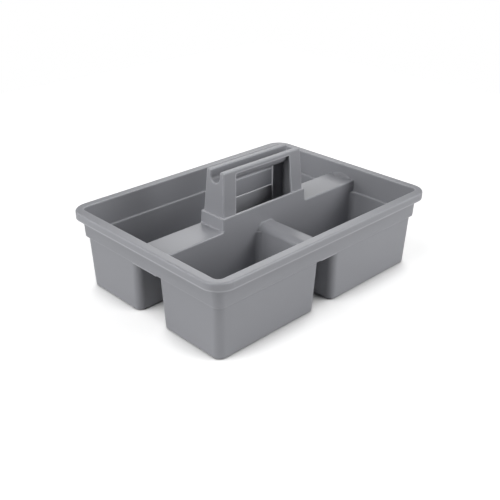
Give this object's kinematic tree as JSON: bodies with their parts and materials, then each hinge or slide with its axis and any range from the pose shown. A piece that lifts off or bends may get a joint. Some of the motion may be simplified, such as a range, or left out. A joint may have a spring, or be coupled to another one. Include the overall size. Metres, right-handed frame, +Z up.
{
  "type": "carry caddy",
  "caption": "Open plastic carry caddy with a long bin, small bins beside it and a raised centre handle, for carrying tools and supplies by hand.",
  "frame": {"origin": "middle of the base, on the plane that the bins stand on", "axes": "+X along the handle and the long bin, +Y from the small bins towards the long bin, +Z up"},
  "size_m": [0.4, 0.291, 0.1715],
  "materials": {
    "grey_polypropylene": "moulded satin"
  },
  "bodies": {
    "root": {"caddy_tub": "grey_polypropylene", "carry_handle": "grey_polypropylene"}
  },
  "joints": []
}
